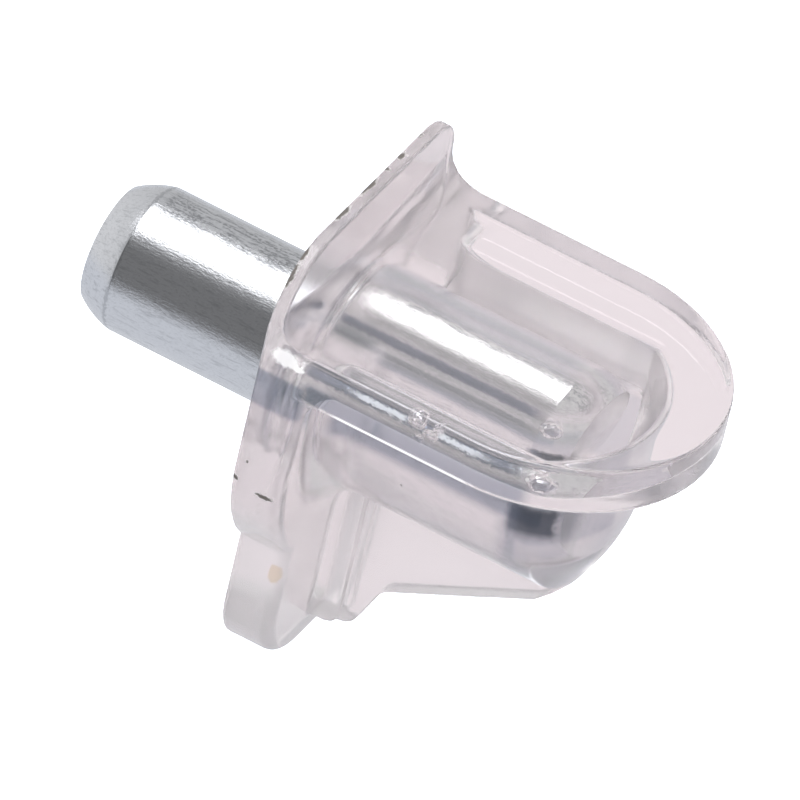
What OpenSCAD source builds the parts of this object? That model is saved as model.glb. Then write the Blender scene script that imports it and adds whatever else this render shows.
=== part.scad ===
// Shelf support pin: a plated steel pin held in a clear moulded shelf rest.
// The origin is on the pin's axis, in the face that bears on the cabinet side.
// The free end of the pin points along +Y, the nose of the rest along -Y, and +Z is up.

/* [Steel pin] */
// Diameter of the pin, for the usual 5 mm shelf holes
pin_d = 5; // [4:0.1:6]
// Length of pin that stands out of the back plate
pin_out = 7.85; // [6:0.05:12]
// Length of pin inside the moulding
pin_in = 9.5; // [7:0.1:9.8]
// Length of the rounded part at each end of the pin
pin_round_len = 1.15; // [0.8:0.05:1.6]
// Radius of the rounded part, from the pin's side to its flat end
pin_round_r = 3; // [1.4:0.1:4]
// Diameter of the flat on each end of the pin
pin_tip_d = 4; // [3:0.1:4.2]
// Width of the rolled groove, just inside the plate, that locks the pin in the moulding
groove_w = 0.8; // [0.6:0.1:1.2]
// Depth of the rolled groove
groove_depth = 0.2; // [0.1:0.05:0.3]

/* [Back plate] */
// Width of the back plate and of the shelf rest
body_w = 11.2; // [10.6:0.1:13]
// Height of the plate's top edge above the pin's axis
plate_top = 6.7; // [6.2:0.1:8]
// Thickness of the plate below the shelf rest
plate_t = 1.75; // [1.2:0.05:2]
// Radius along the plate's front edges
plate_edge_r = 0.4; // [0.2:0.05:0.8]
// Radius of the plate's top corner on the -X side
left_corner_r = 2.6; // [1:0.1:3.5]
// Radius of the plate's top corner on the +X side
right_corner_r = 1.6; // [1:0.1:3.5]
// Drop of the centre of the plate's round lower end below the pin's axis
round_drop = 1; // [0.5:0.1:1.5]
// Thickness of the thin lip that stands above the shelf rest
lip_t = 0.45; // [0.4:0.05:1]
// Radius between the lip and the top of the rest, in the middle
lip_root_r = 0.55; // [0.2:0.05:0.8]
// Radius between the lip and the top of the rest, at both ends
lip_flare_r = 1.2; // [0.8:0.1:1.4]

/* [Tongue] */
// Width of the tongue below the plate
tongue_w = 7.6; // [6.6:0.1:8.4]
// Depth of the tongue's lower edge below the pin's axis
tongue_drop = 10.35; // [10:0.05:12]
// Radius of the tongue's lower corners
tongue_corner_r = 2.6; // [1:0.1:3]

/* [Shelf rest] */
// Height of the rest's top face above the pin's axis
rest_top = 4.02; // [3.9:0.02:4.5]
// Thickness of the rest at its rim
rest_t = 1.75; // [1.5:0.05:2.2]
// Reach of the rest from the cabinet side to the tip of its nose
rest_reach = 13.25; // [12.5:0.05:15]
// Radius along the upper and lower edges of the rest
rest_edge_r = 0.15; // [0.1:0.05:0.5]
// Radius between the underside of the rest and the plate
under_r = 0.8; // [0.4:0.1:1.4]

/* [Pin boss] */
// Diameter of the boss round the pin
boss_d = 7.2; // [6.8:0.1:7.6]
// Distance from the cabinet side to the front of the boss
boss_reach = 11.1; // [11:0.1:12]
// Radius of the boss's front, seen from above
boss_nose_r = 4.6; // [4.2:0.1:5.2]
// Radius of the bow, seen from the side: the boss's front below the pin, and the keel's tip
bow_r = 6.6; // [6.4:0.1:8]
// Radius between the boss and the plate
boss_root_r = 1.2; // [0.6:0.1:1.4]
// Radius between the boss and the underside of the rest
boss_top_r = 0.35; // [0.2:0.05:0.8]

/* [Keel] */
// Thickness of the web under the boss
web_t = 1.2; // [0.8:0.1:1.6]
// Depth of the web's heel, beside the tongue
heel_drop = 9.3; // [8.8:0.05:9.6]
// Distance from the cabinet side to the front of the heel, at its lower edge
heel_reach = 3.1; // [2.9:0.1:3.6]
// Distance that the heel's front runs forward, up to the web's sloping edge
heel_run = 0.8; // [0.4:0.1:1.2]
// Radius of the heel's lower corner
heel_r = 0.7; // [0.2:0.1:0.9]
// Radius in the corner between the heel and the sloping edge
heel_root_r = 0.6; // [0.2:0.1:1]
// Depth at which the web's sloping edge starts, beside the heel
slope_drop = 7.45; // [6.8:0.05:7.6]
// Depth of the sloping edge's line below the front of the boss, where the bow cuts it off
slope_end_drop = 3.8; // [3.4:0.05:4]
// Width of the pad that backs the heel against the tongue
pad_w = 1.8; // [1.5:0.1:2.6]
// Distance that the pad stands out from the tongue
pad_out = 1; // [0.7:0.1:1.2]
// Depth of the pad's lower edge
pad_drop = 9.3; // [8.6:0.05:9.5]
// Radius of the pad's lower front edge
pad_r = 0.4; // [0.2:0.1:0.6]

/* [Hidden] */
$fn = 96;

half_w = body_w / 2;
pin_r = pin_d / 2;
boss_r = boss_d / 2;
rest_under = rest_top - rest_t;
nose_at = rest_reach - half_w;
round_z = -round_drop;
pin_tip_r = pin_tip_d / 2;
nose_centre = boss_reach - boss_nose_r;
// Length by which forms that join run into each other
sink = 0.3;
// Thickness of the discs that the round at the lip's root is stretched between
sheet = 0.01;
// Facets round each of those discs
round_steps = 32;

// Extrudes an outline drawn in X and Z, away from the cabinet side
module from_wall(start, end) {
    translate([0, -start, 0]) rotate([90, 0, 0]) linear_extrude(height = end - start) children();
}

// Extrudes a side profile, drawn as distance from the wall and height, across the middle
module across(width) {
    translate([width / 2, 0, 0]) rotate([90, 0, -90]) linear_extrude(height = width) children();
}

// Fillet section for a corner between a wall on the left and a face below
module corner_fill(r) {
    difference() {
        translate([-sink, -sink]) square([r + sink, r + sink]);
        translate([r, r]) circle(r = r);
    }
}

// Half section of a slab: reach across, thickness up, with a round outer upper edge
module slab_edge(reach, thickness, r) {
    square([reach - r, thickness]);
    square([reach, thickness - r]);
    translate([reach - r, thickness - r]) circle(r = r);
}

// Rounded end of the pin: an arc that runs from the pin's side to the flat end
module pin_end() {
    chord = sqrt(pow(pin_r - pin_tip_r, 2) + pow(pin_round_len, 2));
    back_off = sqrt(pow(pin_round_r, 2) - pow(chord / 2, 2)) / chord;
    centre_x = (pin_r + pin_tip_r) / 2 - back_off * pin_round_len;
    centre_z = pin_round_len / 2 - back_off * (pin_r - pin_tip_r);
    rotate_extrude() intersection() {
        square([pin_r, pin_round_len]);
        translate([centre_x, centre_z]) circle(r = pin_round_r);
    }
}

// Ring that the rolled groove is cut with, from the plate's rear face inward
module groove_ring() {
    ring_r = (pow(groove_w / 2, 2) + pow(groove_depth, 2)) / (2 * groove_depth);
    rotate_extrude()
        translate([pin_r - groove_depth + ring_r, groove_w / 2]) circle(r = ring_r);
}

// Pin from a distance behind the wall face to its inner end, along +Z into the moulding
module pin_from(start) {
    difference() {
        union() {
            translate([0, 0, start]) cylinder(h = pin_in - pin_round_len - start, r = pin_r);
            translate([0, 0, pin_in - pin_round_len]) pin_end();
        }
        groove_ring();
    }
}

module steel_pin() {
    color("silver") rotate([90, 0, 0]) {
        pin_from(pin_round_len - pin_out);
        translate([0, 0, pin_round_len - pin_out]) mirror([0, 0, 1]) pin_end();
    }
}

// Outline of the thin lip, from the pin's axis up
module lip_outline() {
    left_x = left_corner_r - half_w;
    right_x = half_w - right_corner_r;
    translate([-half_w, round_z]) square([half_w, plate_top - left_corner_r - round_z]);
    translate([0, round_z]) square([half_w, plate_top - right_corner_r - round_z]);
    translate([left_x, round_z]) square([right_x - left_x, plate_top - round_z]);
    translate([left_x, plate_top - left_corner_r]) circle(r = left_corner_r);
    translate([right_x, plate_top - right_corner_r]) circle(r = right_corner_r);
}

// Round lower end of the plate, with its round front edge
module plate_round() {
    intersection() {
        translate([0, 0, round_z]) rotate([90, 0, 0]) rotate_extrude()
            slab_edge(half_w, plate_t, plate_edge_r);
        translate([-body_w, -2 * plate_t, round_z - body_w])
            cube([2 * body_w, 3 * plate_t, body_w + sink]);
    }
}

// Straight part of the plate, up to the rest
module plate_straight() {
    height = rest_top - rest_edge_r - round_z;
    translate([0, 0, round_z]) linear_extrude(height = height) mirror([0, 1]) {
        slab_edge(half_w, plate_t, plate_edge_r);
        mirror([1, 0]) slab_edge(half_w, plate_t, plate_edge_r);
    }
}

module tongue() {
    inner = tongue_w / 2 - tongue_corner_r;
    corner_z = tongue_corner_r - tongue_drop;
    for (side = [-1, 1])
        translate([side * inner, 0, corner_z]) rotate([90, 0, 0]) rotate_extrude()
            slab_edge(tongue_corner_r, plate_t, plate_edge_r);
    translate([0, 0, corner_z]) linear_extrude(height = round_z - corner_z) mirror([0, 1]) {
        slab_edge(tongue_w / 2, plate_t, plate_edge_r);
        mirror([1, 0]) slab_edge(tongue_w / 2, plate_t, plate_edge_r);
    }
    across(2 * inner) rotate(-90) slab_edge(tongue_drop, plate_t, plate_edge_r);
}

// Hollow round that shapes the lip's root: it widens from the middle to both ends
module lip_root_round() {
    hull() for (side = [-1, 0, 1]) {
        r = side == 0 ? lip_root_r : lip_flare_r;
        translate([side * half_w, -lip_t - r, rest_top + r])
            rotate([0, 90, 0]) cylinder(h = sheet, r = r, center = true, $fn = round_steps);
    }
}

module lip_root() {
    intersection() {
        across(body_w)
            translate([lip_t - sink, rest_top - sink]) square(lip_flare_r + sink);
        from_wall(0, lip_t + lip_flare_r) lip_outline();
    }
}

module back_plate() {
    from_wall(0, lip_t) lip_outline();
    plate_round();
    plate_straight();
    tongue();
    difference() {
        lip_root();
        lip_root_round();
    }
}

// Half section of the rest: reach across and thickness up, round at both outer edges
module rest_edge(reach) {
    inner = reach - rest_edge_r;
    translate([0, rest_under]) square([inner, rest_t]);
    translate([0, rest_under + rest_edge_r]) square([reach, rest_t - 2 * rest_edge_r]);
    translate([inner, rest_under + rest_edge_r]) circle(r = rest_edge_r);
    translate([inner, rest_top - rest_edge_r]) circle(r = rest_edge_r);
}

module rest() {
    translate([0, -nose_at, 0]) rotate_extrude() rest_edge(half_w);
    from_wall(lip_t / 2, nose_at) {
        rest_edge(half_w);
        mirror([1, 0]) rest_edge(half_w);
    }
    across(body_w - 2 * plate_edge_r)
        translate([plate_t, rest_under]) mirror([0, 1]) corner_fill(under_r);
}

// Side view that the boss and the keel are kept inside: upright in front, with the bow below
module bow_profile() {
    translate([0, -tongue_drop]) square([nose_centre, tongue_drop + rest_under + sink]);
    square([boss_reach, rest_under + sink]);
    intersection() {
        translate([boss_reach - bow_r, 0]) circle(r = bow_r);
        translate([0, -bow_r]) square([boss_reach, bow_r]);
    }
}

// The same limits for the boss, with its front turned about an upright axis
module nose_form() {
    translate([0, -nose_centre, 0]) rotate_extrude() intersection() {
        translate([-nose_centre, 0]) bow_profile();
        translate([0, -tongue_drop]) square([boss_nose_r, tongue_drop + rest_under + sink]);
    }
    translate([-body_w, -nose_centre, -tongue_drop])
        cube([2 * body_w, nose_centre, tongue_drop + rest_under + sink]);
}

// Boss seen along the pin: its radius on one side, and the fillet at its root
module boss_half_profile() {
    square([boss_r, boss_reach]);
    translate([boss_r, plate_t]) corner_fill(boss_root_r);
}

// Boss: round below the pin, with upright sides from the pin's axis up to the rest
module boss() {
    intersection() {
        union() {
            intersection() {
                rotate([90, 0, 0]) rotate_extrude() boss_half_profile();
                translate([-body_w, -rest_reach, -body_w])
                    cube([2 * body_w, rest_reach, body_w + sink]);
            }
            linear_extrude(height = rest_under + sink) mirror([0, 1]) {
                boss_half_profile();
                mirror([1, 0]) boss_half_profile();
            }
        }
        nose_form();
    }
}

// Section of a wall that ends the boss at the given half width, flared up to the rest
module flared_edge(half_width) {
    translate([0, rest_under - boss_top_r]) square([half_width, boss_top_r + sink]);
    translate([half_width, rest_under]) mirror([0, 1]) corner_fill(boss_top_r);
}

// Fillets between the boss and the underside of the rest, along both sides and the front
module boss_fillets() {
    intersection() {
        from_wall(plate_t / 2, rest_reach) {
            flared_edge(boss_r);
            mirror([1, 0]) flared_edge(boss_r);
        }
        union() {
            across(body_w) translate([0, rest_under - boss_top_r])
                square([nose_centre, boss_top_r + sink]);
            translate([0, -nose_centre, 0]) rotate_extrude() flared_edge(boss_nose_r);
        }
    }
}

// Side profile of the web: distance from the wall, then height
module web_profile() {
    slope_start = heel_reach + heel_run;
    // Height of the web's upper edge, which is sunk into the boss
    web_top = sink - boss_r;
    // Angles of the heel's front and of the sloping edge, up from the horizontal
    front_a = atan2(heel_drop - slope_drop, heel_run);
    slope_a = atan2(slope_drop - slope_end_drop, boss_reach - slope_start);
    // Distances from each corner to where its radius begins
    heel_cut = heel_r * tan(front_a / 2);
    root_cut = heel_root_r * tan((front_a - slope_a) / 2);
    polygon([
        [0, web_top],
        [0, -heel_drop],
        [heel_reach - heel_cut, -heel_drop],
        [heel_reach + heel_cut * cos(front_a), heel_cut * sin(front_a) - heel_drop],
        [slope_start, -slope_drop],
        [boss_reach, -slope_end_drop],
        [boss_reach, web_top]
    ]);
    translate([heel_reach - heel_cut, heel_r - heel_drop]) circle(r = heel_r);
    translate([slope_start, -slope_drop]) difference() {
        polygon([
            [-sink, sink],
            [-root_cut * cos(front_a), -root_cut * sin(front_a)],
            [root_cut * cos(slope_a) + heel_root_r * sin(slope_a),
             root_cut * sin(slope_a) - heel_root_r * cos(slope_a)],
            [root_cut * cos(slope_a), root_cut * sin(slope_a)]
        ]);
        translate([
            root_cut * cos(slope_a) + heel_root_r * sin(slope_a),
            root_cut * sin(slope_a) - heel_root_r * cos(slope_a)
        ]) circle(r = heel_root_r);
    }
}

module keel() {
    across(web_t) intersection() {
        web_profile();
        bow_profile();
    }
    across(pad_w) rotate(-90) slab_edge(pad_drop, plate_t + pad_out, pad_r);
}

module clear_body() {
    color("gainsboro", 0.45) difference() {
        union() {
            back_plate();
            rest();
            boss();
            boss_fillets();
            keel();
        }
        rotate([90, 0, 0]) pin_from(-sink);
    }
}

steel_pin();
clear_body();
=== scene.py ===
import math

import bmesh
import bpy
from mathutils import Matrix, Vector


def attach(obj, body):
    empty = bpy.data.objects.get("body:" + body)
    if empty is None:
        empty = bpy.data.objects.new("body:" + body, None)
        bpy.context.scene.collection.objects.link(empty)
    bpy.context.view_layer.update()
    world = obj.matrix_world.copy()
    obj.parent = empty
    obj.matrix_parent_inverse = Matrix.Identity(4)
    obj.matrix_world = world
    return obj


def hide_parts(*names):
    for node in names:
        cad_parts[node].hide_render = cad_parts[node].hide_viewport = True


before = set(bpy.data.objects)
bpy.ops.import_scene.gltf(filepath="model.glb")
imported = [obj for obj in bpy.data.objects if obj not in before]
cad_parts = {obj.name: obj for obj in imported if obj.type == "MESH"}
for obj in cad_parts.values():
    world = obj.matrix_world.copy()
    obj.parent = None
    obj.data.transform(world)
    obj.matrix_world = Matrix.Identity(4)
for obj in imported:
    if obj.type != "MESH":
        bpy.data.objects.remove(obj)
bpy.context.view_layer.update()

MM = 0.001
PER_MM = (1 / MM, 1 / MM, 1 / MM)

# Steel pin: its sizes in millimetres, then how finely it is drawn
PIN_R = 2.5
PIN_OUT = 7.85
PIN_IN = 9.5
GROOVE_W = 0.8
GROOVE_DEPTH = 0.2
PIN_ROUND_LEN = 1.15
PIN_ROUND_R = 3
PIN_TIP_R = 2
PIN_SIDES = 160
END_RINGS = 8
GROOVE_RINGS = 10
EDGE_ANGLE = 10
FACES_THE_WAY = 0.9
SAME_PLACE = 1e-6

# Skin of the moulding: sizes in millimetres, smoothing, share of triangles kept, weight of flats
MERGE_WITHIN = 0.0005
PLUG_MARGIN = 0.2
PLUG_SIDES = 64
SKIN_STEP = 0.075
SOFTEN_BY = 0.5
SOFTEN_TIMES = 8
SKIN_KEPT = 0.6
FLATS_WEIGHT = 50

# Air bubbles in the plastic: centre and reach along X, Y and Z, in millimetres
BUBBLE_FINENESS = 3
BUBBLE_CRUMPLE = 0.035
BUBBLE_SEED = 3
BUBBLES = (
    ((-2.12, -8.75, 1.88), (0.36, 0.4, 0.34)),
    ((-5.27, -5.55, 3.62), (0.24, 0.34, 0.26)),
    ((-5.3, -6.1, 3.36), (0.22, 0.28, 0.2)),
    ((-5.34, -5.75, 3.08), (0.18, 0.16, 0.13)),
    ((-5.36, -6.35, 3.68), (0.16, 0.2, 0.15)),
)

# Camera: its axes, its lens, and its place along those axes, in millimetres
CAMERA_RIGHT = (0.47883, -0.85858, 0.18321)
CAMERA_UP = (0.48087, 0.43110, 0.76348)
CAMERA_BACK = (-0.73449, -0.27748, 0.61930)
CAMERA_SENSOR = 36
CAMERA_LENS = 1430.8
CAMERA_CLIP = (0.1, 20)
CAMERA_AWAY = 1000
CAMERA_SHIFT_RIGHT = 2.3005
CAMERA_SHIFT_DOWN = 1.5667

# White surround with a dark opening. The limits are cosines of the angle to a direction.
DARK_SIDE = (-0.897, 0.277, 0.344)
DARK_EDGE = (0.755, 0.8)
FAR_SIDE = (0, 1, 0)
FAR_EDGE = (0.3, 1)
DARK_END = (0.62, 0.45)

# How bright the surround is in mirrors, through the plastic, after bounces and on dull pieces
SURROUND = 0.62
SURROUND_FAR = 0.85
DARK_IN_MIRROR = 0.215
DARK_IN_CLEAR = 0.34
LIGHT_AFTER_BOUNCES = 0.95
WARM_AFTER_BOUNCES = (1, 0.94, 0.955, 1)
LIGHT_ON_DULL = 1.6
LIGHT_BOUNCES = 32
FIRST_BOUNCES = (1, 2)
WHITE = (1, 1, 1, 1)

# Lamp above: its direction, distance and size in metres, and power
KEY_DIRECTION = (0.09, 0.28, 0.95)
KEY_AWAY = 0.35
KEY_SIZE = (0.21, 0.24)
KEY_POWER = 0.56
KEY_AFTER_BOUNCES = 0.12

# Floor: sizes in metres, and its glow as others see it and as the camera sees it
FLOOR_SIZE = 0.4
FLOOR_SHIFT = 0.06
FLOOR_DROP = 0.045
FLOOR_BASE = (0.05, 0.05, 0.05, 1)
FLOOR_ROUGH = 0.8
FLOOR_GLOW = (1, 3)
FLOOR_IN_MIRROR = (0.62, 0.64, 0.68, 1)
FLOOR_IN_CLEAR = (0.74, 0.665, 0.695, 1)

# Marks on the plastic, and painted glints: centre and reach along X, Y and Z, in millimetres
MARK_GRAIN = 9
MARK_DETAIL = 3
MARK_SHAKE = 0.3
MARK_EDGE = (1.2, 0.7)
DIRT_SPOTS = (
    ((3.45, 0, 6.7), (0.12, 0.1, 0.2)),
    ((2.15, -0.12, 6.7), (0.22, 0.12, 0.2)),
    ((1.25, -0.08, 6.7), (0.12, 0.1, 0.2)),
    ((0.1, -0.06, 6.7), (0.6, 0.12, 0.2)),
    ((-1.65, -0.08, 6.7), (0.5, 0.13, 0.2)),
    ((-4.0, -0.06, 6.5), (0.35, 0.1, 0.3)),
    ((-4.7, -0.06, 6.05), (0.45, 0.12, 0.5)),
    ((-5.55, -1.18, -1.9), (0.2, 0.34, 0.09)),
    ((-5.6, -0.12, -1.63), (0.15, 0.12, 0.1)),
    ((-5.6, -0.4, -0.81), (0.1, 0.06, 0.06)),
    ((-3.55, -4.83, -0.59), (0.1, 0.06, 0.06)),
)
RUST_SPOTS = (
    ((-3.8, -1.48, -6.03), (0.3, 0.22, 0.4)),
)
# Painted glints: white patches at the near side's upper corner
GLINTS = (
    ((-5.6, -0.85, 3.66), (0.35, 0.5, 0.33)),
    ((-5.6, -1.3, 3.5), (0.35, 0.3, 0.16)),
)
GLINT_SHARE = 0.6

# Colours of the plastic, of the shade and highlights painted on it, and of the dirt and rust on it
PLASTIC = (0.982, 0.958, 0.968, 1)
# Painted shade, greying the near sides and the nose
PLASTIC_PAINTED_SHADE = (0.31, 0.35, 0.43, 1)
# Painted highlights: white for the near bottom edge and the glints, pale blue for the near side
HIGHLIGHT_WHITE = (1, 1, 1, 1)
HIGHLIGHT_BLUE = (0.86, 0.92, 1, 1)
DIRT = (0.11, 0.1, 0.093, 1)
RUST = (0.87, 0.72, 0.56, 1)
PLASTIC_IOR = 1.49

# A stretch is a row of limits: what is measured, where the stretch starts and where it is full.
# x, y and z are places in millimetres, and ragged_ ones are shaken a little, so that the edge
# isn't clean. out is the distance from the middle plane, and turn the angle round the pin, in
# radians. Where a list holds several stretches, each has its strength before it.
NEAR_SIDE = ("x", -5.15, -5.35)
HAZE = (("z", -2, -5),)
SATIN = (
    (1, (("z", 2.2, 1.7),)),
    (1, (("y", -3.2, -2.3), ("z", 3.4, 3.9))),
)
BOSS_WALL = (("out", 2.9, 3.5), ("y", -1.8, -2.4), ("z", 2.3, 1.8))
# Painted shade: the near sides of the shelf and plate, and the boss wall, made greyer where they look
# dark
PAINTED_SHADE_PARTS = (
    (1, (NEAR_SIDE, ("y", -1.6, -1.9), ("z", 2.4, 2.5), ("z", 3.35, 2.95))),
    (0.5, (NEAR_SIDE, ("y", -1.6, -1.9), ("z", 3.8, 3.9), ("z", 4.05, 3.98))),
    (1, (NEAR_SIDE, ("y", -1.9, -1.6), ("z", 1.3, 1.6), ("z", 2.95, 2.75))),
    (1, (("x", -3.3, -3.45), ("y", -1.9, -2.3), ("z", -0.1, 0.45), ("z", 1.3, 0.75))),
)
# Painted shade round the nose, weaker in one pane
NOSE_SHADE = (("y", -8, -8.7), ("z", 2.2, 2.0), ("out", 0.65, 1.1))
NOSE_PANE = (("y", -8.8, -9.1), ("y", -11.2, -10.9), ("z", -1.7, -1.4), ("z", -0.3, -0.6))
# Painted highlight: a white line along the near bottom edge of the shelf
PAINTED_EDGE_LINE = (NEAR_SIDE, ("z", 2.49, 2.43), ("z", 2.18, 2.23), ("y", -2.6, -3.1), ("y", -8.1, -7.2))
# Painted highlight: a pale blue stripe along the near side of the shelf, broken once
PAINTED_SIDE_LINE = (
    NEAR_SIDE, ("ragged_z", 3.5, 3.62), ("ragged_z", 3.82, 3.72), ("y", -2.9, -3.8), ("y", -8.6, -7.4),
)
PAINTED_SIDE_STRIPES = (
    (0.5, PAINTED_SIDE_LINE + (("ragged_y", -5.35, -5.15),)),
    (0.5, PAINTED_SIDE_LINE + (("ragged_y", -6.3, -6.55),)),
)

# Share or roughness outside a stretch, and inside it
SATIN_ROUGH = (0.035, 0.16)
HAZE_ROUGH = (0.05, 0.24)
HAZE_CLEAR = (0.93, 0.8)
BOSS_WALL_ROUGH = 0.26
NOSE_SHADE_SHARE = (0.58, 0.14)

# Plating of the pin: bare half, half held in plastic and made lighter as painted light, the scuffs,
# painted shade and painted reflections on it, and the painted shade on its inner end
STEEL_BARE = (0.7, 0.712, 0.745, 1)
# The held half is lighter only as painted light
STEEL_HELD_LIT = (0.88, 0.88, 0.89, 1)
STEEL_TIP_SHADE = (0.085, 0.095, 0.125, 1)
STEEL_TIP_SHADE_RIM = (0.2, 0.22, 0.27, 1)
STEEL_PAINTED_LINE = (0.32, 0.35, 0.42, 1)
STEEL_CROWN_SHADE = (0.72, 0.74, 0.775, 1)
SCUFF_AND_SHADE = (0.3, 0.31, 0.33, 1)

# Grain of the plating: its share along X, Y and Z, its scale and its detail
STREAKS = ((1, 0.16, 1), 9000, 5)
SPECKS = ((1, 0.55, 1), 17000, 4)
GRAIN_ROUGHNESS = 0.65
GRAIN_STRENGTH = 0.5
GRAIN_HEIGHT = 0.000015
STREAK_SPAN = (0.3, 0.7)
STEEL_ROUGH = (0.06, 0.19)

# Stretches of the pin; streaks and specks are the two grains
HELD_HALF = (("y", 0, -0.3),)
BARE_HALF = (("y", 0, 0.2),)
# Scuffs and painted shade: a speckled dark band on top of the bare half, worn and partly painted
# reflection; a painted dark line at the shoulder; and real specks and streaks all over
SCUFFS_AND_SHADE = (
    (0.85, (("x", -0.95, -0.65), ("x", 1.2, 0.5), ("z", 1.9, 2.1), ("y", 6.6, 6.3),
            ("streaks", 0.42, 0.54), ("specks", 0.4, 0.52))),
    (0.5, (("y", 6.6, 6.68), ("y", 6.8, 6.72))),
    (0.3, (("specks", 0.5, 0.7),)),
    (0.4, (("streaks", 0.5, 0.68),)),
)
SCUFF_AND_SHADE_SHARE = (0.6, 1)
HELD_MIDDLE = (("y", -0.6, -1), ("y", -8.4, -7.6))
# Painted reflections: dark lines along the held half, under its highlight
PAINTED_DARK_LINES = (
    (1, (("turn", 2.22, 2.27), ("turn", 2.42, 2.37))),
    (0.45, (("turn", 2.52, 2.56), ("turn", 2.66, 2.62))),
)
# Painted shade: the top of the held half made darker
CROWN = (("turn", 0.6, 0.9), ("turn", 1.58, 1.48))
# Painted shade on the inner end, darkest deep in, and lighter on its flat as a painted highlight
TIP_SHADE = (("y", -8.1, -8.5), ("x", -0.9, -1.6), ("z", -1.0, -0.5), ("z", 0.5, 0.25))
TIP_DEEP = (("y", -8.45, -8.8),)
TIP_FLAT = (("y", -9.25, -9.4),)
TIP_FLAT_SHARE = (1, 0.35)


def clear_selection():
    if bpy.context.object and bpy.context.object.mode != "OBJECT":
        bpy.ops.object.mode_set(mode="OBJECT")
    bpy.ops.object.select_all(action="DESELECT")


def pick(piece):
    clear_selection()
    piece.select_set(True)
    bpy.context.view_layer.objects.active = piece


def join_to(piece):
    """Joins what is selected to the piece."""
    piece.select_set(True)
    bpy.context.view_layer.objects.active = piece
    bpy.ops.object.join()


def copy_of(source):
    pick(source)
    bpy.ops.object.duplicate()
    return bpy.context.object


def edit_all(piece):
    """Opens the piece for editing with all of it selected."""
    pick(piece)
    bpy.ops.object.mode_set(mode="EDIT")
    bpy.ops.mesh.select_all(action="SELECT")


def bake_place(piece, scale=1.0):
    pick(piece)
    piece.scale = (scale, scale, scale)
    bpy.ops.object.transform_apply(location=True, rotation=True, scale=True)


def apply_all(piece):
    pick(piece)
    for modifier in list(piece.modifiers):
        bpy.ops.object.modifier_apply(modifier=modifier.name)


def add_bar(radius, length, sides):
    """A plain round bar along Y, from the origin to the side that the length's sign says."""
    clear_selection()
    bpy.ops.mesh.primitive_cylinder_add(
        vertices=sides, radius=radius, depth=abs(length),
        location=(0, length / 2, 0), rotation=(math.pi / 2, 0, 0),
    )
    return bpy.context.object


def node_input(node, name, value):
    node.inputs[name].default_value = value


def new_material(name):
    material = bpy.data.materials.new(name)
    material.use_nodes = True
    tree = material.node_tree
    shader = tree.nodes["Principled BSDF"]
    return material, tree, shader


def object_coordinates(tree, scale):
    coordinates = tree.nodes.new("ShaderNodeTexCoord")
    mapping = tree.nodes.new("ShaderNodeMapping")
    node_input(mapping, "Scale", scale)
    tree.links.new(coordinates.outputs["Object"], mapping.inputs["Vector"])
    return mapping.outputs["Vector"]


def noise(tree, vector, scale, detail):
    texture = tree.nodes.new("ShaderNodeTexNoise")
    node_input(texture, "Scale", scale)
    node_input(texture, "Detail", detail)
    tree.links.new(vector, texture.inputs["Vector"])
    return texture


def grain(tree, draw, scale, detail):
    """Fine noise over the piece, drawn out along the axes whose share is small."""
    texture = noise(tree, object_coordinates(tree, draw), scale, detail)
    node_input(texture, "Roughness", GRAIN_ROUGHNESS)
    return texture.outputs["Fac"]


def combine(tree, operation, first, second):
    """Two values put together; the second may be a socket or a plain number."""
    node = tree.nodes.new("ShaderNodeMath")
    node.operation = operation
    tree.links.new(first, node.inputs[0])
    if isinstance(second, (int, float)):
        node.inputs[1].default_value = second
    else:
        tree.links.new(second, node.inputs[1])
    return node.outputs[0]


def change_place(tree, operation, place, *values):
    """A place put together with others, each of which is a socket or three plain numbers."""
    node = tree.nodes.new("ShaderNodeVectorMath")
    node.operation = operation
    tree.links.new(place, node.inputs[0])
    for slot, value in enumerate(values, start=1):
        if isinstance(value, tuple):
            node.inputs[slot].default_value = value
        else:
            tree.links.new(value, node.inputs[slot])
    return node


def map_range(tree, value, limits, result, smooth=False):
    """A value within the limits turned into one within the result, straight or as a soft step."""
    node = tree.nodes.new("ShaderNodeMapRange")
    if smooth:
        node.interpolation_type = "SMOOTHSTEP"
    node_input(node, "From Min", limits[0])
    node_input(node, "From Max", limits[1])
    node_input(node, "To Min", result[0])
    node_input(node, "To Max", result[1])
    tree.links.new(value, node.inputs["Value"])
    return node.outputs["Result"]


def step_up(tree, value, low, high):
    """0 below low and 1 above high, or the other way round where low is the larger."""
    return map_range(tree, value, (low, high), (0, 1), smooth=True)


def between(tree, share, result):
    """A value that goes from the first of the result to the second as the share goes up."""
    return map_range(tree, share, (0, 1), result)


def blend_colours(tree, share, first, second):
    """A colour that goes from the first to the second; either may be a socket or plain values."""
    mix = tree.nodes.new("ShaderNodeMix")
    mix.data_type = "RGBA"
    tree.links.new(share, mix.inputs[0])
    for slot, colour in ((6, first), (7, second)):
        if isinstance(colour, tuple):
            mix.inputs[slot].default_value = colour
        else:
            tree.links.new(colour, mix.inputs[slot])
    return mix.outputs[2]


def blend_values(tree, share, first, second):
    """A value that goes from the first to the second; the second may be a plain number."""
    mix = tree.nodes.new("ShaderNodeMix")
    mix.data_type = "FLOAT"
    tree.links.new(share, mix.inputs[0])
    tree.links.new(first, mix.inputs[2])
    if isinstance(second, (int, float)):
        mix.inputs[3].default_value = second
    else:
        tree.links.new(second, mix.inputs[3])
    return mix.outputs[0]


def facing(tree, direction):
    """How nearly a direction of the surround points the given way, from -1 to 1."""
    coordinates = tree.nodes.new("ShaderNodeTexCoord")
    toward = tuple(Vector(direction).normalized())
    return change_place(tree, "DOT_PRODUCT", coordinates.outputs["Generated"], toward).outputs["Value"]


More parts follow.
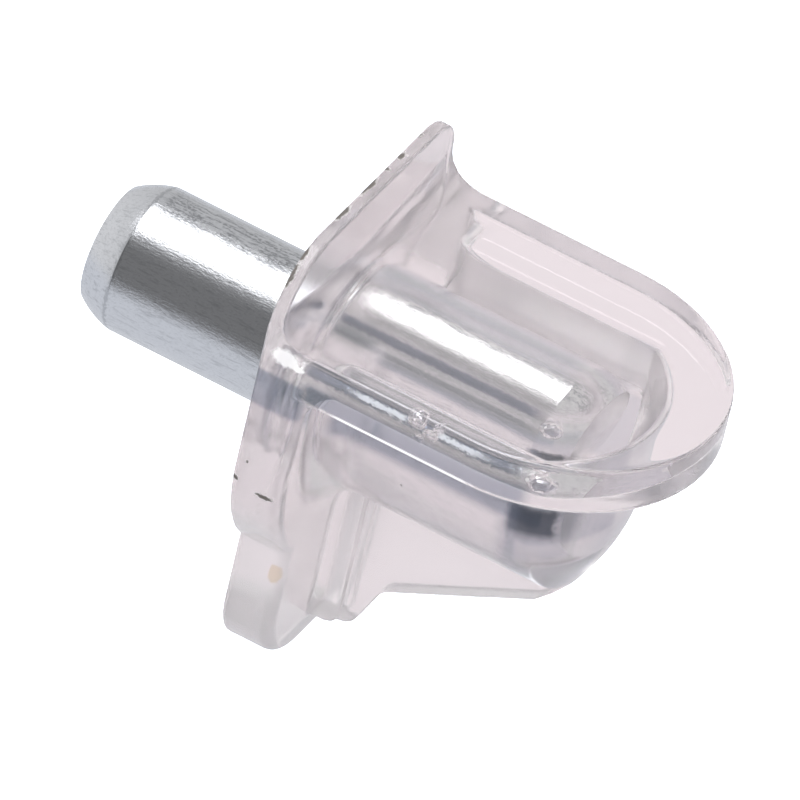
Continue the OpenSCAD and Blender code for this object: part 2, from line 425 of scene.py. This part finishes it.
def ragged_place(tree):
    """Place on the piece in millimetres, shaken a little so that edges of marks aren't clean."""
    place = object_coordinates(tree, PER_MM)
    shake = noise(tree, place, MARK_GRAIN, MARK_DETAIL)
    even = change_place(tree, "SUBTRACT", shake.outputs["Color"], (0.5, 0.5, 0.5))
    reach = (MARK_SHAKE, MARK_SHAKE, MARK_SHAKE)
    return change_place(tree, "MULTIPLY_ADD", even.outputs[0], reach, place).outputs[0]


def axes_of(tree, place, prefix=""):
    """The three numbers of a place, by the name of their axis."""
    apart = tree.nodes.new("ShaderNodeSeparateXYZ")
    tree.links.new(place, apart.inputs["Vector"])
    return {prefix + axis.lower(): apart.outputs[axis] for axis in "XYZ"}


def marks(tree, place, spots):
    """How much of a mark lies here: each spot is a centre and its reach along the three axes."""
    total = None
    for centre, reach in spots:
        moved = change_place(tree, "SUBTRACT", place, centre)
        scaled = change_place(tree, "DIVIDE", moved.outputs[0], reach)
        away = change_place(tree, "LENGTH", scaled.outputs[0])
        here = step_up(tree, away.outputs["Value"], *MARK_EDGE)
        total = here if total is None else combine(tree, "MAXIMUM", total, here)
    return total


def stretch(tree, axes, limits):
    """How far a place lies within all the limits of a stretch, from 0 to 1."""
    total = None
    for axis, start, full in limits:
        here = step_up(tree, axes[axis], start, full)
        total = here if total is None else combine(tree, "MULTIPLY", total, here)
    return total


def strongest(tree, axes, stretches):
    """The strongest of several stretches, each with its strength before it."""
    total = None
    for strength, limits in stretches:
        here = combine(tree, "MULTIPLY", stretch(tree, axes, limits), strength)
        total = here if total is None else combine(tree, "MAXIMUM", total, here)
    return total


def plastic_roughness(tree, axes, haze):
    satin = between(tree, strongest(tree, axes, SATIN), SATIN_ROUGH)
    rough = combine(tree, "MAXIMUM", satin, between(tree, haze, HAZE_ROUGH))
    boss_wall = combine(tree, "MULTIPLY", stretch(tree, axes, BOSS_WALL), BOSS_WALL_ROUGH)
    return combine(tree, "MAXIMUM", rough, boss_wall)


def plastic_painted_shade(tree, axes):
    """Painted shade on the plastic: greyer on its near sides and round its nose, but less in one pane.
    """
    pane = between(tree, stretch(tree, axes, NOSE_PANE), NOSE_SHADE_SHARE)
    nose = combine(tree, "MULTIPLY", stretch(tree, axes, NOSE_SHADE), pane)
    shade = combine(tree, "MAXIMUM", strongest(tree, axes, PAINTED_SHADE_PARTS), nose)
    return blend_colours(tree, shade, PLASTIC, PLASTIC_PAINTED_SHADE)


def clear_plastic():
    """Clear plastic, with painted shade, painted highlights and glints, dirt and rust. Dirt and the
    painted highlights and glints aren't seen through.
    """
    material, tree, shader = new_material("clear_plastic")
    node_input(shader, "IOR", PLASTIC_IOR)
    place = ragged_place(tree)
    axes = axes_of(tree, place, "ragged_")
    axes.update(axes_of(tree, object_coordinates(tree, PER_MM)))
    axes["out"] = combine(tree, "ABSOLUTE", axes["x"], 0)
    haze = stretch(tree, axes, HAZE)
    # Painted shade on the near sides and round the nose
    colour = plastic_painted_shade(tree, axes)
    colour = blend_colours(tree, marks(tree, place, RUST_SPOTS), colour, RUST)
    # Painted highlights: white edge line, pale blue side stripes and white glints
    edge_highlight = stretch(tree, axes, PAINTED_EDGE_LINE)
    streak = strongest(tree, axes, PAINTED_SIDE_STRIPES)
    glint = combine(tree, "MULTIPLY", marks(tree, place, GLINTS), GLINT_SHARE)
    dirt = marks(tree, place, DIRT_SPOTS)
    opaque = dirt
    for share, tint in ((edge_highlight, HIGHLIGHT_WHITE), (streak, HIGHLIGHT_BLUE), (glint, HIGHLIGHT_WHITE)):
        colour = blend_colours(tree, share, colour, tint)
        opaque = combine(tree, "MAXIMUM", opaque, share)
    colour = blend_colours(tree, dirt, colour, DIRT)
    clear = combine(tree, "MULTIPLY", between(tree, haze, HAZE_CLEAR), between(tree, opaque, (1, 0)))
    rough = combine(tree, "MAXIMUM", plastic_roughness(tree, axes, haze), dirt)
    tree.links.new(colour, shader.inputs["Base Color"])
    tree.links.new(clear, shader.inputs["Transmission Weight"])
    tree.links.new(rough, shader.inputs["Roughness"])
    return material


def plated_steel():
    """Plated steel, drawn along the pin, with scuffs on its bare half, a held half made lighter as
    painted light, painted shade and dark reflections, and painted shade on its inner end.
    """
    material, tree, shader = new_material("plated_steel")
    node_input(shader, "Metallic", 1.0)
    axes = axes_of(tree, ragged_place(tree))
    axes["turn"] = combine(tree, "ARCTAN2", axes["z"], axes["x"])
    axes["streaks"] = grain(tree, *STREAKS)
    axes["specks"] = grain(tree, *SPECKS)
    # The held half is made lighter: painted light.
    colour = blend_colours(tree, stretch(tree, axes, HELD_HALF), STEEL_BARE, STEEL_HELD_LIT)
    # Scuffs, with a painted dark band and a painted dark line at the shoulder.
    scuff_and_shade_share = between(tree, stretch(tree, axes, BARE_HALF), SCUFF_AND_SHADE_SHARE)
    scuffed_and_shaded = combine(tree, "MULTIPLY", strongest(tree, axes, SCUFFS_AND_SHADE), scuff_and_shade_share)
    colour = blend_colours(tree, scuffed_and_shaded, colour, SCUFF_AND_SHADE)
    # Painted shade on the top of the held half.
    held = stretch(tree, axes, HELD_MIDDLE)
    crown = combine(tree, "MULTIPLY", stretch(tree, axes, CROWN), held)
    colour = blend_colours(tree, crown, colour, STEEL_CROWN_SHADE)
    # Painted dark reflections along the held half.
    lines = combine(tree, "MULTIPLY", strongest(tree, axes, PAINTED_DARK_LINES), held)
    colour = blend_colours(tree, lines, colour, STEEL_PAINTED_LINE)
    # Painted shade on the inner end, weaker on its flat as a painted highlight.
    tip_share = between(tree, stretch(tree, axes, TIP_FLAT), TIP_FLAT_SHARE)
    tip_shade = combine(tree, "MULTIPLY", stretch(tree, axes, TIP_SHADE), tip_share)
    tip = blend_colours(tree, stretch(tree, axes, TIP_DEEP), STEEL_TIP_SHADE_RIM, STEEL_TIP_SHADE)
    colour = blend_colours(tree, tip_shade, colour, tip)
    rough = map_range(tree, axes["streaks"], STREAK_SPAN, STEEL_ROUGH)
    bump = tree.nodes.new("ShaderNodeBump")
    node_input(bump, "Strength", GRAIN_STRENGTH)
    node_input(bump, "Distance", GRAIN_HEIGHT)
    tree.links.new(combine(tree, "ADD", axes["streaks"], axes["specks"]), bump.inputs["Height"])
    tree.links.new(colour, shader.inputs["Base Color"])
    tree.links.new(rough, shader.inputs["Roughness"])
    tree.links.new(bump.outputs["Normal"], shader.inputs["Normal"])
    return material


def add_bubble(piece, centre, reach):
    """A small air bubble: a closed shell inside the plastic whose faces look into the air."""
    clear_selection()
    bpy.ops.mesh.primitive_ico_sphere_add(
        subdivisions=BUBBLE_FINENESS, radius=MM, location=[c * MM for c in centre],
    )
    bubble = bpy.context.object
    bubble.scale = reach
    bpy.ops.object.transform_apply(location=True, rotation=True, scale=True)
    edit_all(bubble)
    bpy.ops.transform.vertex_random(offset=BUBBLE_CRUMPLE * MM, seed=BUBBLE_SEED)
    bpy.ops.mesh.flip_normals()
    bpy.ops.object.mode_set(mode="OBJECT")
    join_to(piece)


def wrap_in_one_skin(piece):
    """One even skin over the piece, drawn to its shape, with its sharp edges a little softened."""
    guide = copy_of(piece)
    remesh = piece.modifiers.new("one_skin", "REMESH")
    remesh.mode = "VOXEL"
    remesh.voxel_size = SKIN_STEP
    remesh.use_smooth_shade = True
    drawn = piece.modifiers.new("drawn_to_shape", "SHRINKWRAP")
    drawn.target = guide
    smooth = piece.modifiers.new("soften", "SMOOTH")
    smooth.factor = SOFTEN_BY
    smooth.iterations = SOFTEN_TIMES
    thin = piece.modifiers.new("thin_out", "DECIMATE")
    thin.ratio = SKIN_KEPT
    apply_all(piece)
    bpy.data.objects.remove(guide)


def make_moulding():
    """Clear moulding, with its bore filled, so that no air lies between plastic and steel."""
    piece = copy_of(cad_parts["clear_body"])
    piece.parent = None
    piece.name = "clear_moulding"
    bake_place(piece, 1 / MM)
    edit_all(piece)
    bpy.ops.mesh.remove_doubles(threshold=MERGE_WITHIN)
    bpy.ops.object.mode_set(mode="OBJECT")
    add_bar(PIN_R + PLUG_MARGIN, -(PIN_IN + PLUG_MARGIN), PLUG_SIDES)
    join_to(piece)
    wrap_in_one_skin(piece)
    bake_place(piece, MM)
    bpy.ops.object.shade_smooth()
    even = piece.modifiers.new("even_flats", "WEIGHTED_NORMAL")
    even.weight = FLATS_WEIGHT
    apply_all(piece)
    for centre, reach in BUBBLES:
        add_bubble(piece, centre, reach)
    return piece


def rounded_r(along):
    """Radius of a rounded end this far from its shoulder: it shrinks to the flat on an arc."""
    chord = math.hypot(PIN_R - PIN_TIP_R, PIN_ROUND_LEN)
    back_off = math.sqrt(PIN_ROUND_R ** 2 - (chord / 2) ** 2) / chord
    centre_r = (PIN_R + PIN_TIP_R) / 2 - back_off * PIN_ROUND_LEN
    centre_y = PIN_ROUND_LEN / 2 - back_off * (PIN_R - PIN_TIP_R)
    return centre_r + math.sqrt(PIN_ROUND_R ** 2 - (along - centre_y) ** 2)


def end_rings(shoulder, way):
    """Rings of a rounded end from its shoulder on: place along Y, and radius."""
    rings = []
    for step in range(1, END_RINGS + 1):
        along = PIN_ROUND_LEN * step / END_RINGS
        rings.append((shoulder + way * along, rounded_r(along)))
    return rings


def groove_rings():
    """Rings of the rolled groove, from its bare side to its held side."""
    groove_arc_r = ((GROOVE_W / 2) ** 2 + GROOVE_DEPTH ** 2) / (2 * GROOVE_DEPTH)
    rings = []
    for step in range(GROOVE_RINGS + 1):
        along = GROOVE_W * step / GROOVE_RINGS
        fall = math.sqrt(groove_arc_r ** 2 - (along - GROOVE_W / 2) ** 2)
        rings.append((-along, PIN_R - GROOVE_DEPTH + groove_arc_r - fall))
    return rings


def draw_out(piece, start, rings):
    """Extrudes the flat end that faces away from start, ring by ring, to each place and radius."""
    bpy.ops.mesh.select_all(action="DESELECT")
    mesh = bmesh.from_edit_mesh(piece.data)
    way = math.copysign(1, rings[0][0] + rings[-1][0] - 2 * start)
    for face in mesh.faces:
        if face.normal.y * way > FACES_THE_WAY:
            face.select = True
    mesh.select_flush_mode()
    bmesh.update_edit_mesh(piece.data)
    last_place, last_r = start, PIN_R
    for place, r in rings:
        if abs(place - last_place) > SAME_PLACE:
            move = {"value": (0, place - last_place, 0)}
            bpy.ops.mesh.extrude_region_move(TRANSFORM_OT_translate=move)
        shrink = r / last_r
        bpy.ops.transform.resize(value=(shrink, 1, shrink), center_override=(0, place, 0))
        last_place, last_r = place, r


def make_pin():
    """Steel pin: a bar with a rolled groove, drawn in to a small flat at both ends."""
    shoulder = PIN_OUT - PIN_ROUND_LEN
    inner_shoulder = PIN_ROUND_LEN - PIN_IN
    piece = add_bar(PIN_R, shoulder, PIN_SIDES)
    piece.name = "steel_pin_skin"
    bake_place(piece)
    bpy.ops.object.mode_set(mode="EDIT")
    draw_out(piece, shoulder, end_rings(shoulder, 1))
    draw_out(piece, 0, groove_rings() + [(inner_shoulder, PIN_R)] + end_rings(inner_shoulder, -1))
    bpy.ops.object.mode_set(mode="OBJECT")
    bake_place(piece, MM)
    bpy.ops.object.shade_smooth_by_angle(angle=math.radians(EDGE_ANGLE))
    return piece


def add_camera():
    right, up, back = Vector(CAMERA_RIGHT), Vector(CAMERA_UP), Vector(CAMERA_BACK)
    camera = bpy.data.cameras.new("camera")
    camera.sensor_width = CAMERA_SENSOR
    camera.lens = CAMERA_LENS
    camera.clip_start, camera.clip_end = CAMERA_CLIP
    holder = bpy.data.objects.new("camera", camera)
    turn = Matrix((right, up, back)).transposed().to_4x4()
    place = (back * CAMERA_AWAY + right * CAMERA_SHIFT_RIGHT - up * CAMERA_SHIFT_DOWN) * MM
    holder.matrix_world = Matrix.Translation(place) @ turn
    bpy.context.scene.collection.objects.link(holder)
    bpy.context.scene.camera = holder


def add_key():
    """Soft lamp above, which is dimmer in light that has been mirrored more than once."""
    lamp = bpy.data.lights.new("key_above", "AREA")
    lamp.shape = "RECTANGLE"
    lamp.size, lamp.size_y = KEY_SIZE
    lamp.energy = KEY_POWER
    holder = bpy.data.objects.new("key_above", lamp)
    way = Vector(KEY_DIRECTION).normalized()
    holder.location = way * KEY_AWAY
    holder.rotation_euler = way.to_track_quat("Z", "Y").to_euler()
    bpy.context.scene.collection.objects.link(holder)
    lamp.use_nodes = True
    tree = lamp.node_tree
    path = tree.nodes.new("ShaderNodeLightPath")
    kept = map_range(tree, path.outputs["Glossy Depth"], FIRST_BOUNCES, (1, KEY_AFTER_BOUNCES))
    tree.links.new(kept, tree.nodes["Emission"].inputs["Strength"])


def light_studio():
    """White surround with a dark opening, and plain white where the camera sees past the part."""
    scene = bpy.context.scene
    scene.view_settings.view_transform = "Standard"
    scene.cycles.max_bounces = LIGHT_BOUNCES
    scene.cycles.transmission_bounces = LIGHT_BOUNCES
    scene.cycles.glossy_bounces = LIGHT_BOUNCES
    world = bpy.data.worlds.new("studio")
    scene.world = world
    world.use_nodes = True
    tree = world.node_tree
    path = tree.nodes.new("ShaderNodeLightPath")
    through = path.outputs["Is Transmission Ray"]
    opening = step_up(tree, facing(tree, DARK_SIDE), *DARK_EDGE)
    end = step_up(tree, facing(tree, FAR_SIDE), *DARK_END)
    dark = combine(tree, "MULTIPLY", opening, end)
    depth = between(tree, through, (DARK_IN_MIRROR, DARK_IN_CLEAR))
    pale = map_range(tree, facing(tree, FAR_SIDE), FAR_EDGE, (SURROUND, SURROUND_FAR), smooth=True)
    deep = map_range(tree, path.outputs["Glossy Depth"], FIRST_BOUNCES, (0, 1))
    deep = combine(tree, "MULTIPLY", deep, through)
    strength = blend_values(tree, dark, pale, depth)
    strength = blend_values(tree, deep, strength, LIGHT_AFTER_BOUNCES)
    strength = blend_values(tree, path.outputs["Is Diffuse Ray"], strength, LIGHT_ON_DULL)
    surround = tree.nodes["Background"]
    tree.links.new(strength, surround.inputs["Strength"])
    tree.links.new(blend_colours(tree, deep, WHITE, WARM_AFTER_BOUNCES), surround.inputs["Color"])
    seen = tree.nodes.new("ShaderNodeBackground")
    node_input(seen, "Color", WHITE)
    choose = tree.nodes.new("ShaderNodeMixShader")
    tree.links.new(path.outputs["Is Camera Ray"], choose.inputs[0])
    tree.links.new(surround.outputs[0], choose.inputs[1])
    tree.links.new(seen.outputs[0], choose.inputs[2])
    tree.links.new(choose.outputs[0], tree.nodes["World Output"].inputs["Surface"])
    add_key()


def lay_floor():
    """Pale floor that glows by itself, so that it shows as white and takes no shadow."""
    clear_selection()
    bpy.ops.mesh.primitive_plane_add(size=FLOOR_SIZE, location=(FLOOR_SHIFT, 0, -FLOOR_DROP))
    floor = bpy.context.object
    floor.name = "floor"
    bake_place(floor)
    material, tree, shader = new_material("pale_floor")
    node_input(shader, "Base Color", FLOOR_BASE)
    node_input(shader, "Roughness", FLOOR_ROUGH)
    path = tree.nodes.new("ShaderNodeLightPath")
    glow = between(tree, path.outputs["Is Camera Ray"], FLOOR_GLOW)
    tint = blend_colours(tree, path.outputs["Is Transmission Ray"], FLOOR_IN_MIRROR, FLOOR_IN_CLEAR)
    tree.links.new(glow, shader.inputs["Emission Strength"])
    tree.links.new(tint, shader.inputs["Emission Color"])
    floor.data.materials.append(material)


moulding = make_moulding()
moulding.data.materials.clear()
moulding.data.materials.append(clear_plastic())
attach(moulding, "root")
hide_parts("clear_body")

pin = make_pin()
pin.data.materials.append(plated_steel())
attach(pin, "root")
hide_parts("steel_pin")

add_camera()
light_studio()
lay_floor()
